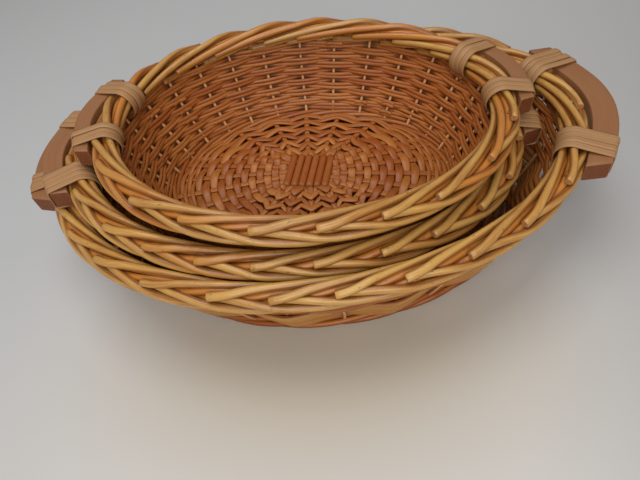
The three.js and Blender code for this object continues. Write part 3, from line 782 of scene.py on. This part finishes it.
class NEST_OT_feet(bpy.types.Operator):
    """Winds the thick round of weaving that each basket stands on"""

    bl_idname = "nest.feet"
    bl_label = "Wind the feet"

    RODS = 4
    ROD_SHARE = 0.27
    STEPS = 10
    STAKES_A_TWIST = 6

    def execute(self, context):
        for number, basket in enumerate(BASKETS):
            bundle = Bundle(SEEDS["foot"] + number)
            count = context.scene.nest_side.stakes[number]
            half_width = (basket.foot_x - basket.base_x) / 2
            half_height = basket.foot_height / 2
            middle = Oval(basket.foot_x - half_width, basket.foot_y - half_width)
            steps = count * self.STEPS
            share = np.arange(steps) / steps
            radius = basket.foot_height * self.ROD_SHARE
            for strand in range(self.RODS):
                turn = FULL_TURN * (round(count / self.STAKES_A_TWIST) * share + strand / self.RODS)
                up = half_height + (half_height - radius) * np.sin(turn)
                path = middle.places(share, (half_width - radius) * np.cos(turn), up)
                bundle.rod(path, UP, radius, radius, 8, closed=True)
            bundle.build(basket, "foot_rods", willow(context.scene, "woven"), "foot_wale")
        return {"FINISHED"}


class NEST_OT_floors(bpy.types.Operator):
    """Weaves each floor from sticks that fan out from the slath and strips that pass over and under them"""

    bl_idname = "nest.floors"
    bl_label = "Weave the floors"

    def execute(self, context):
        for number, basket in enumerate(BASKETS):
            bundle = Bundle(SEEDS["floor"] + number)
            floor = Floor(basket, context.scene.nest_floor)
            floor.sticks(bundle)
            floor.rounds(bundle)
            bundle.build(basket, "floor_rods", willow(context.scene, "floor"), "base_weave")
        return {"FINISHED"}


class Floor:
    """One woven floor: places on it are given by the stick and by the share of the way from slath to foot."""

    THIN_SHARE = 0.14
    BACK_THIN_SHARE = 0.07
    THIN_ROUNDS = 4
    PACKED_EVERY = 6
    MIDDLE_DEPTH = 2.6
    SQUARE = 0.7
    SIDES = 10
    STEPS = 10
    STICK_REACH = (-0.1, 1.04)
    # Sticks over which a strip turns from the ends to front or back, and its form there
    TURN_STICKS = 1.2
    ZIGZAG_POWER = 1.15
    ZIGZAG_FADE = 0.55
    NARROWING = 0.27
    # Thin rounds at the edge: their swing and width as shares of a strip's
    THIN_SWING = 0.75
    THIN_HALF = 0.55
    # Right sticks by their inner and outer place across the basket, back sticks by inner place and outer turn
    RIGHT_IN = (-0.75, -0.45, -0.15, 0.15, 0.45, 0.75)
    RIGHT_OUT = (-0.62, -0.36, -0.12, 0.12, 0.36, 0.62)
    BACK_IN = (0.95, 0.6, 0.0, -0.6, -0.95)
    BACK_OUT = (0.62, 0.28, 0.0, -0.28, -0.62)
    SIDE_STICKS = len(RIGHT_IN)
    HALF_ROUND = SIDE_STICKS + len(BACK_IN)

    def __init__(self, basket, settings):
        self.settings = settings
        self.inner_x = basket.slath_x
        self.inner_y = basket.slath_y
        self.outer_x = basket.base_x
        self.outer_y = basket.base_y
        self.mid_top = basket.base_top - self.MIDDLE_DEPTH
        self.mid_edge = basket.foot_height - self.MIDDLE_DEPTH
        self.starts, self.ends = self.stick_ends()

    def stick_ends(self):
        """Inner and outer end of every stick in plan, in order round the floor from the right."""
        inner = [(self.inner_x, y * self.inner_y) for y in self.RIGHT_IN]
        inner += [(x * self.inner_x, self.inner_y) for x in self.BACK_IN]
        inner += [(-x, -y) for x, y in inner]
        outer = [math.atan2(y, 1) for y in self.RIGHT_OUT] + [math.pi / 2 - turn for turn in self.BACK_OUT]
        outer += [turn + math.pi for turn in outer]
        ends = [(self.outer_x * math.cos(turn), self.outer_y * math.sin(turn)) for turn in outer]
        return np.array(inner), np.array(ends)

    def plan(self, stick, reach):
        """Place in plan at a fraction of a stick's number round the floor and a share of its length."""
        count = len(self.starts)
        low = np.floor(stick).astype(int)
        part = (stick - low)[:, None]
        near = self.starts[low % count] * (1 - part) + self.starts[(low + 1) % count] * part
        angle = np.arctan2(self.ends[:, 1] / self.outer_y, self.ends[:, 0] / self.outer_x)
        angle = np.unwrap(np.append(angle, angle[0] + FULL_TURN))
        turn = np.interp(stick % count, np.arange(count + 1), angle)
        far = np.stack([self.outer_x * np.cos(turn), self.outer_y * np.sin(turn)], 1)
        return near * (1 - reach[:, None]) + far * reach[:, None]

    def height(self, reach):
        """Height of the floor's middle at a share of the way out."""
        return self.mid_top + (self.mid_edge - self.mid_top) * reach

    def sticks(self, bundle):
        """Sticks from under the slath out to the foot, flatter and wider at the basket's ends."""
        reach = np.linspace(*self.STICK_REACH, 14)
        for i in range(len(self.starts)):
            place = self.starts[i] * (1 - reach[:, None]) + self.ends[i] * reach[:, None]
            path = np.concatenate([place, self.height(reach)[:, None]], 1)
            size = self.settings.stick_radius / MM * bundle.draw.uniform(0.92, 1.1)
            at_end = i % self.HALF_ROUND < self.SIDE_STICKS
            wide = size * (np.linspace(1.4, 1.75, len(reach)) if at_end else 1.3)
            bundle.rod(path, UP, wide, size * (0.5 if at_end else 0.6), self.SIDES, square=self.SQUARE)

    def rounds(self, bundle):
        """Rounds of weaving, each over one stick and under the next, and short rows packed in at the ends."""
        edge = 1 - self.THIN_SHARE
        back_edge = 1 - self.BACK_THIN_SHARE
        columns = round(edge * (self.outer_x - self.inner_x) * MM / self.settings.round_pitch)
        packed = [column for column in range(columns) if column % self.PACKED_EVERY == 1]
        full = [column for column in range(columns) if column not in packed]
        stick = np.arange(len(self.starts) * self.STEPS) / self.STEPS
        for row, column in enumerate(full):
            reach = edge * (column + 0.5) / columns
            back = back_edge * (row + 0.5) / len(full)
            self.strip(bundle, stick, column, row, reach, back)
        for k in range(self.THIN_ROUNDS):
            part = (k + 0.5) / self.THIN_ROUNDS
            reach = edge + self.THIN_SHARE * part
            back = back_edge + self.BACK_THIN_SHARE * part
            self.strip(bundle, stick, columns + k, len(full) + k, reach, back, thin=True)
        for column in packed:
            reach = edge * (column + 0.5) / columns
            for first in (0, self.HALF_ROUND):
                short = np.linspace(first - 0.75, first + self.SIDE_STICKS - 0.25, 60)
                self.strip(bundle, short, column, column, reach, reach, closed=False)

    def strip(self, bundle, stick, column, row, reach, back_reach, thin=False, closed=True):
        """One strip: by its column at the basket's ends and by its row at front and back."""
        settings = self.settings
        draw = bundle.draw
        end_half = (self.SIDE_STICKS - 1) / 2
        beyond = np.abs((stick % self.HALF_ROUND) - end_half)
        beyond = np.minimum(beyond, self.HALF_ROUND - beyond) - end_half
        across = np.clip(beyond / self.TURN_STICKS, 0, 1)
        across = across * across * (3 - 2 * across)
        odd = (column - row) % 2
        cross = np.cos(math.pi * (stick + row + odd * (1 - across)))
        peak = np.abs((stick % 1) - 0.5) * 2
        zigzag = settings.zigzag / MM * (peak**self.ZIGZAG_POWER - 0.5) * across
        zigzag = zigzag * (1 - self.ZIGZAG_FADE * back_reach)
        share = reach * (1 - across) + back_reach * across + zigzag / (self.outer_y - self.inner_y)
        sway = 0.004 * np.sin(stick * 0.9 + draw.uniform(0, FULL_TURN))
        place = self.plan(stick, np.clip(share + (0 if closed else sway), 0.0, 1.0))
        swing = settings.swing / MM * (self.THIN_SWING if thin else 1.0) * cross
        path = np.concatenate([place, (self.height(share) + swing)[:, None]], 1)
        half = settings.strip_half / MM * draw.uniform(0.92, 1.08) * (self.THIN_HALF if thin else 1.0)
        half = half * (1 - self.NARROWING * across) * (1 + 0.10 * cross)
        bundle.rod(path, UP, half, settings.strip_thin / MM, self.SIDES, closed=closed, square=self.SQUARE)


class NEST_OT_slaths(bpy.types.Operator):
    """Lays the six short sticks at the middle of each floor"""

    bl_idname = "nest.slaths"
    bl_label = "Lay the slaths"

    STEPS = 12
    SCALE = 0.98
    WIDEN = 1.07
    ROW_TURN = math.radians(-8)
    STICK_TURN = math.radians(-13)

    def execute(self, context):
        row_way = np.array([math.cos(self.ROW_TURN), math.sin(self.ROW_TURN)])
        stick_way = np.array([-math.sin(self.STICK_TURN), math.cos(self.STICK_TURN)])
        finishes = willow(context.scene, "floor")
        for number, basket in enumerate(BASKETS):
            for stick in range(1, SLATH_STICKS + 1):
                bundle = Bundle(SEEDS["slath"] + 10 * number + stick)
                corners = basket.local(f"slath_stick_{stick}")
                middle = middle_of(corners)
                half = half_extents(corners)
                walk = np.linspace(-half[1], half[1], self.STEPS) * self.SCALE
                plan = middle[0] * self.SCALE * row_way + walk[:, None] * stick_way
                path = np.concatenate([plan, np.full((self.STEPS, 1), middle[2])], 1)
                wave = 1 + 0.02 * np.sin(np.linspace(0, 5, self.STEPS) + bundle.draw.uniform(0, 6))
                wide = half[0] * wave * self.SCALE * self.WIDEN
                tone = bundle.draw.uniform(*SLATH_TONE)
                bundle.rod(path, UP, wide, half[2] * wave, 16, tone=tone, square=0.75)
                bundle.build(basket, f"slath_rod_{stick}", finishes, f"slath_stick_{stick}")
        return {"FINISHED"}


class Handle:
    """One crescent handle and the places of its lashings beside the rim."""

    SEAT_GAP = 0.5
    BORDER_GAP = 2.1
    EDGE_REACH = 1.6
    EDGE_STEPS = 800

    def __init__(self, basket, side, settings):
        self.basket = basket
        self.side = side
        self.settings = settings
        self.half = basket.own["handle_half"]
        self.lashing_at = basket.own["lashing_at"]
        self.middle = basket.rim.share(math.radians(basket.own["angle"][side]))
        self.half_height = settings.thickness / MM / 2
        self.rounding = settings.rounding / MM

    def place(self, along, out, up):
        """Places by the handle: distance along the rim towards the back, out from the border and up."""
        point = self.basket.by_rim(self.middle + along / self.basket.rim.length, out, up)
        point[..., 0] *= MIRROR[self.side]
        return point

    def inner(self, along):
        """Distance of the bar's inner edge out from the border's middle line."""
        past = np.abs(along) / self.lashing_at
        end = self.half / self.lashing_at
        beyond = self.settings.end_gap / MM * ((past - 1) / (end - 1)) ** 2
        between = self.basket.own["handle_gap"] * (1 - np.minimum(past, 1) ** 2) ** 2
        return self.basket.border_radius + self.SEAT_GAP + np.where(past > 1, beyond, between)

    def outer(self, along):
        """Distance of the bar's outer edge out from the border's middle line."""
        taper = self.settings.end_taper / MM * (along / self.half) ** 2
        return self.inner(along) + self.basket.own["handle_width"] - taper

    def chord(self):
        """Middle of the chord, its direction towards the back and the outward direction."""
        middle, ahead, behind = self.place(np.array([0.0, 0.5, -0.5]), 0.0, 0.0)
        along = unit((ahead - behind) * np.array([1.0, 1.0, 0.0]))
        outward = np.array([along[1], -along[0], 0.0]) * MIRROR[self.side]
        return middle, along, outward

    def edge_at(self, edge, cuts):
        """Where one edge crosses straight cuts across the chord."""
        middle, direction, _ = self.chord()
        walk = np.linspace(-self.EDGE_REACH * self.half, self.EDGE_REACH * self.half, self.EDGE_STEPS)
        line = self.place(walk, edge(walk), 0.0)
        return np.stack([np.interp(cuts, (line - middle) @ direction, line[:, i]) for i in range(3)], 1)

    def loop(self, along, slack, steps):
        """Even loop round handle and border in the section across the rim: places out and up, and facing."""
        turn = np.linspace(-math.pi / 2, math.pi / 2, 17)
        reach = self.rounding + self.SEAT_GAP + slack
        out = self.outer(np.array([along]))[0] - self.rounding + reach * np.cos(turn)
        up = np.sign(np.sin(turn)) * (self.half_height - self.rounding) + reach * np.sin(turn)
        right = np.stack([out, up], 1)
        turn = np.linspace(math.pi / 2, 3 * math.pi / 2, 21)
        radius = self.basket.border_radius + self.BORDER_GAP + slack
        left = np.stack([radius * np.cos(turn), radius * np.sin(turn)], 1)
        line = np.concatenate([right, left, right[:1]])
        way = walked(line)
        at = np.linspace(0, way[-1], steps, endpoint=False)
        loop = np.stack([np.interp(at, way, line[:, 0]), np.interp(at, way, line[:, 1])], 1)
        ahead = unit(np.roll(loop, -1, 0) - np.roll(loop, 1, 0))
        return loop[:, 0], loop[:, 1], np.stack([ahead[:, 1], -ahead[:, 0]], 1)


class NEST_OT_handles(bpy.types.Operator):
    """Shapes the crescent handles with rounded edges and sawn ends"""

    bl_idname = "nest.handles"
    bl_label = "Shape the handles"

    STEPS = 56
    CORNER_STEPS = 4
    CORNERS = ((1, 1), (-1, 1), (-1, -1), (1, -1))
    END_EDGE = 0.6
    # Ripples of the bar: height and rate along it
    RIPPLES = ((0.15, 0.11), (0.1, 0.23))
    RIPPLE_UP = 0.6

    def execute(self, context):
        settings = context.scene.nest_handle
        wood = handle_finish("handle_wood_finish", settings, settings.wood, settings.deep, 0.45, 0.35)
        sawn = handle_finish("handle_end_finish", settings, settings.sawn, settings.end_grain, 0.08, 0.15)
        for number, basket in enumerate(BASKETS):
            for place, side in enumerate(MIRROR):
                draw = random.Random(SEEDS["handle"] + 10 * number + place)
                self.shape(Handle(basket, side, settings), (wood, sawn), draw)
        return {"FINISHED"}

    def shape(self, bar, finishes, draw):
        """One bar: a section with rounded corners, swept between the inner and the outer edge."""
        edge = self.END_EDGE
        even = np.linspace(-bar.half + edge, bar.half - edge, self.STEPS)
        cuts = np.concatenate([[-bar.half], even, [bar.half]])
        inner = bar.edge_at(bar.inner, cuts)
        outer = bar.edge_at(bar.outer, cuts)
        _, _, outward = bar.chord()
        width = (outer - inner) @ outward
        rounding = bar.rounding
        section = []
        for corner, signs in enumerate(self.CORNERS):
            for i in range(self.CORNER_STEPS + 1):
                turn = math.pi / 2 * (corner + i / self.CORNER_STEPS)
                section.append((*signs, rounding * math.cos(turn), rounding * math.sin(turn)))
        section = np.array(section)
        worn = np.where(np.abs(cuts) > bar.half - edge / 2, edge, 0.0)[:, None]
        across = section[None, :, 0] * (width[:, None] / 2 - rounding - worn) + section[None, :, 2]
        rise = section[None, :, 1] * (bar.half_height - rounding - worn) + section[None, :, 3]
        ripple = sum(height * np.sin(cuts * rate + draw.uniform(0, 6)) for height, rate in self.RIPPLES)
        points = ((inner + outer) / 2)[:, None, :] + across[..., None] * outward
        points[..., 2] += rise + ripple[:, None] * self.RIPPLE_UP
        count = len(section)
        ring = np.arange(count)
        beyond = (ring + 1) % count
        here = np.arange(len(cuts) - 1)[:, None] * count
        ahead = here + count
        quads = np.stack([here + ring, here + beyond, ahead + beyond, ahead + ring], -1).reshape(-1, 4)
        caps = [ring.tolist(), (ring[::-1] + (len(cuts) - 1) * count).tolist()]
        if MIRROR[bar.side] > 0:
            quads = quads[:, ::-1]
        else:
            caps = [cap[::-1] for cap in caps]
        grain = np.stack([np.repeat(cuts, count) + draw.uniform(0, 900), across.ravel(), rise.ravel()], 1)
        node = f"handle_{bar.side}"
        make_piece(bar.basket, f"{bar.basket.name}_{node}_wood", points.reshape(-1, 3), quads.tolist(), caps,
                   {"grain": grain}, finishes, node)


class NEST_OT_lashings(bpy.types.Operator):
    """Winds split skein round handle and border"""

    bl_idname = "nest.lashings"
    bl_label = "Wind the lashings"

    LOOP_STEPS = 48
    SLACK = 0.8
    SLANT = 0.8

    def execute(self, context):
        settings = context.scene.nest_lashing
        finish = skein_finish("split_skein_finish", settings)
        for number, basket in enumerate(BASKETS):
            for place, side in enumerate(MIRROR):
                bar = Handle(basket, side, context.scene.nest_handle)
                for end_name, end in ENDS.items():
                    bundle = Bundle(SEEDS["lashing"] + 20 * number + 4 * place + end)
                    self.wind(bundle, bar, end, settings)
                    node = f"lashing_{side}_{end_name}"
                    bundle.build(basket, f"{node}_skein", (finish, finish), node)
        return {"FINISHED"}

    def wind(self, bundle, bar, end, settings):
        """Loops side by side, each a little looser or tighter than the next."""
        draw = bundle.draw
        pitch = settings.pitch / MM
        loops = bar.basket.own["loops"]
        middle = end * bar.lashing_at
        start = middle - (loops - 1) * pitch / 2
        for turn in range(loops):
            along = start + pitch * turn
            out, up, face = bar.loop(along, draw.uniform(0.0, self.SLACK), self.LOOP_STEPS)
            slant = draw.uniform(-self.SLANT, self.SLANT)
            ahead = np.full(self.LOOP_STEPS, middle + 1.0)
            spread = np.linalg.norm(bar.place(ahead, out, up) - bar.place(ahead - 2.0, out, up), axis=1) / 2
            walk = middle + (along - middle) / spread
            walk = walk + slant * np.sin(np.arange(self.LOOP_STEPS) / self.LOOP_STEPS * FULL_TURN)
            path = bar.place(walk, out, up)
            aside = bar.place(walk, out + face[:, 0], up + face[:, 1])
            half = settings.strip_half / MM * draw.uniform(0.94, 1.06)
            bundle.rod(path, unit(aside - path), half, settings.strip_thin / MM, 8, closed=True, square=0.6)


class NEST_OT_stage(bpy.types.Operator):
    """Sets out the pale floor, the soft lamps and the camera"""

    bl_idname = "nest.stage"
    bl_label = "Set the stage"

    FLOOR_HALF = 3.0
    AIR = (1.0, 0.985, 0.965)
    # Size and place of the lamps in metres
    KEY_LAMP = (0.8, (-0.10, 0.10, 1.30))
    FILL_LAMP = (1.2, (0.1, -1.15, 1.05))
    # Camera in millimetres and radians, found from the photographed outlines
    CAMERA_PLACE = (45.7157, -299.5573, 337.8252)
    CAMERA_YAW = -0.1809
    CAMERA_PITCH = 0.8979
    CAMERA_ROLL = -0.2337
    SENSOR = 36.0
    NEAREST = 0.01

    def execute(self, context):
        scene = context.scene
        settings = scene.nest_stage
        scene.view_settings.view_transform = "Standard"
        self.floor(scene, settings)
        self.lamp(scene, "key_lamp", settings.key_power, *self.KEY_LAMP)
        self.lamp(scene, "fill_lamp", settings.fill_power, *self.FILL_LAMP)
        world = bpy.data.worlds.new("studio_air")
        world.use_nodes = True
        air = world.node_tree.nodes["Background"]
        air.inputs["Color"].default_value = colour(self.AIR)
        air.inputs["Strength"].default_value = settings.sky
        scene.world = world
        self.camera(scene, settings)
        return {"FINISHED"}

    def floor(self, scene, settings):
        """Pale floor with painted light and shade: lighter towards the camera and darker behind and to the
        sides as painted fall-off of light, a painted shadow to the right, and a warm painted shadow before
        the nest.
        """
        half = self.FLOOR_HALF
        corners = [(-half, -half, 0), (half, -half, 0), (half, half, 0), (-half, half, 0)]
        mesh = bpy.data.meshes.new("pale_floor")
        mesh.from_pydata(corners, [], [(0, 1, 2, 3)])
        n = Nodes("pale_floor_finish")
        place = n.add("ShaderNodeTexCoord").outputs["Object"]
        x, y, _ = n.split(place)
        aside = n.math("ABSOLUTE", x)
        clouds = n.noise(place, 3.0, 2.0)
        # Painted light: lighter towards the camera and darker behind, with a little random mottling
        share = n.math("ADD", n.remap(y, -0.36, 0.30, 0.0, 1.0), n.remap(clouds, 0.3, 0.7, -0.05, 0.05))
        # Painted shade: darker towards the sides
        share = n.math("ADD", share, n.remap(aside, 0.13, 0.33, 0.0, 0.65))
        shade = n.mix(n.math("MINIMUM", share, 1.0), colour(settings.near), colour(settings.far))
        # Painted shadow to the right of the nest
        right_shadow_share = n.math("MULTIPLY", n.remap(x, 0.12, 0.36, 0.0, 0.8), n.remap(y, 0.05, 0.35, 1.0, 0.4))
        shade = n.mix(right_shadow_share, shade, colour(settings.right))
        # Warm painted shadow before the nest, fading with distance from its front
        before = n.math("ADD", y, 0.13)
        sideways = n.math("MULTIPLY", n.math("MULTIPLY", aside, aside), 0.35)
        apart = n.math("SQRT", n.math("ADD", n.math("MULTIPLY", before, before), sideways))
        bounce_shadow_share = n.remap(apart, 0.02, 0.14, 0.9, 0.0, "SMOOTHSTEP")
        n.feed(n.shader.inputs["Base Color"], n.mix(bounce_shadow_share, shade, colour(settings.painted_bounce_shadow)))
        n.shader.inputs["Roughness"].default_value = 0.75
        mesh.materials.append(n.material)
        floor = bpy.data.objects.new("pale_floor", mesh)
        scene.collection.objects.link(floor)

    @staticmethod
    def lamp(scene, name, power, size, place):
        """Soft square lamp that looks at the nest."""
        light = bpy.data.lights.new(name, "AREA")
        light.energy = power
        light.size = size
        lamp = bpy.data.objects.new(name, light)
        lamp.location = place
        lamp.rotation_euler = (-Vector(place)).to_track_quat("-Z", "Y").to_euler()
        scene.collection.objects.link(lamp)

    def camera(self, scene, settings):
        """Camera at the photograph's place."""
        level = math.cos(self.CAMERA_PITCH)
        along = (math.sin(self.CAMERA_YAW), math.cos(self.CAMERA_YAW))
        forward = Vector((along[0] * level, along[1] * level, -math.sin(self.CAMERA_PITCH)))
        right = Vector((along[1], -along[0], 0))
        up = right.cross(forward)
        rolled_right = math.cos(self.CAMERA_ROLL) * right + math.sin(self.CAMERA_ROLL) * up
        rolled_up = math.cos(self.CAMERA_ROLL) * up - math.sin(self.CAMERA_ROLL) * right
        data = bpy.data.cameras.new("studio_camera")
        data.lens = settings.lens
        data.sensor_width = self.SENSOR
        data.clip_start = self.NEAREST
        camera = bpy.data.objects.new("studio_camera", data)
        turned = Matrix((rolled_right, rolled_up, -forward)).transposed().to_4x4()
        turned.translation = Vector(self.CAMERA_PLACE) * MM
        camera.matrix_world = turned
        scene.collection.objects.link(camera)
        scene.camera = camera


OPERATORS = (NEST_OT_borders, NEST_OT_sides, NEST_OT_feet, NEST_OT_floors, NEST_OT_slaths, NEST_OT_handles,
             NEST_OT_lashings, NEST_OT_stage)

GROUPS = {
    "nest_willow": NEST_PG_willow,
    "nest_border": NEST_PG_border,
    "nest_side": NEST_PG_side,
    "nest_floor": NEST_PG_floor,
    "nest_handle": NEST_PG_handle,
    "nest_lashing": NEST_PG_lashing,
    "nest_stage": NEST_PG_stage,
}


class NEST_PT_panel(bpy.types.Panel):
    """Buttons and sizes of the nest"""

    bl_idname = "NEST_PT_panel"
    bl_label = "Willow nest"
    bl_space_type = "VIEW_3D"
    bl_region_type = "UI"
    bl_category = "Willow"

    def draw(self, context):
        for name in GROUPS:
            box = self.layout.box()
            group = getattr(context.scene, name)
            for value in group.bl_rna.properties:
                if value.identifier not in ("rna_type", "name"):
                    box.prop(group, value.identifier)
        for operator in OPERATORS:
            self.layout.operator(operator.bl_idname)


def register():
    for group in GROUPS.values():
        bpy.utils.register_class(group)
    for name, group in GROUPS.items():
        setattr(bpy.types.Scene, name, PointerProperty(type=group))
    for operator in OPERATORS:
        bpy.utils.register_class(operator)
    bpy.utils.register_class(NEST_PT_panel)


def unregister():
    bpy.utils.unregister_class(NEST_PT_panel)
    for operator in reversed(OPERATORS):
        bpy.utils.unregister_class(operator)
    for name, group in reversed(GROUPS.items()):
        delattr(bpy.types.Scene, name)
        bpy.utils.unregister_class(group)


def main():
    register()
    bpy.ops.nest.borders()
    bpy.ops.nest.sides()
    bpy.ops.nest.feet()
    bpy.ops.nest.floors()
    bpy.ops.nest.slaths()
    bpy.ops.nest.handles()
    bpy.ops.nest.lashings()
    bpy.ops.nest.stage()


if __name__ == "__main__":
    main()
